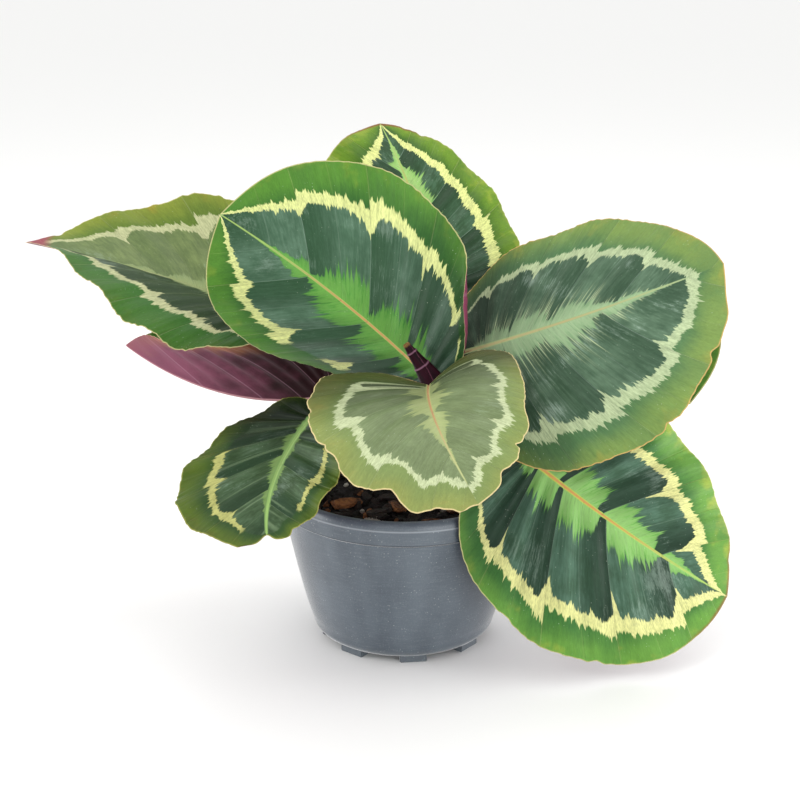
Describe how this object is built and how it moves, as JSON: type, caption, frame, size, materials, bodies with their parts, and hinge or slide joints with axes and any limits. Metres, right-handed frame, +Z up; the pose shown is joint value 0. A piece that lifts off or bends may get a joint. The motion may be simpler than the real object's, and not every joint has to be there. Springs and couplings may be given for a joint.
{
  "type": "potted calathea",
  "caption": "Broad-leaved calathea house plant with round patterned leaves on slim stalks, growing in a round tapered plastic nursery pot filled with soil.",
  "frame": {"origin": "on the pot's axis, on the surface that the pot stands on", "axes": "+Z up, +X to the right of someone facing the plant's front, -Y towards that person"},
  "size_m": [0.4111, 0.3205, 0.273],
  "materials": {
    "pot_plastic": "satin dark blue-grey moulded plastic",
    "soil": "damp dark potting mix with bark chips",
    "leaf_blade": "satin green leaf with a cream ring and a purple underside",
    "leaf_stalk": "satin green-brown stalk",
    "new_leaf": "satin purple rolled leaf"
  },
  "bodies": {
    "root": {"pot": "pot_plastic", "soil": "soil", "leaf_blade_left_front": "leaf_blade", "leaf_blade_back_top": "leaf_blade", "leaf_blade_right_upper": "leaf_blade", "leaf_blade_right_lower": "leaf_blade", "leaf_blade_front_centre": "leaf_blade", "leaf_blade_left_lower": "leaf_blade", "leaf_blade_far_left": "leaf_blade", "leaf_blade_folded_left": "leaf_blade", "leaf_blade_right_back": "leaf_blade", "leaf_stalk_left_front": "leaf_stalk", "leaf_stalk_back_top": "leaf_stalk", "leaf_stalk_right_upper": "leaf_stalk", "leaf_stalk_right_lower": "leaf_stalk", "leaf_stalk_front_centre": "leaf_stalk", "leaf_stalk_left_lower": "leaf_stalk", "leaf_stalk_far_left": "leaf_stalk", "leaf_stalk_folded_left": "leaf_stalk", "leaf_stalk_right_back": "leaf_stalk", "new_leaf_roll": "new_leaf"}
  },
  "joints": []
}
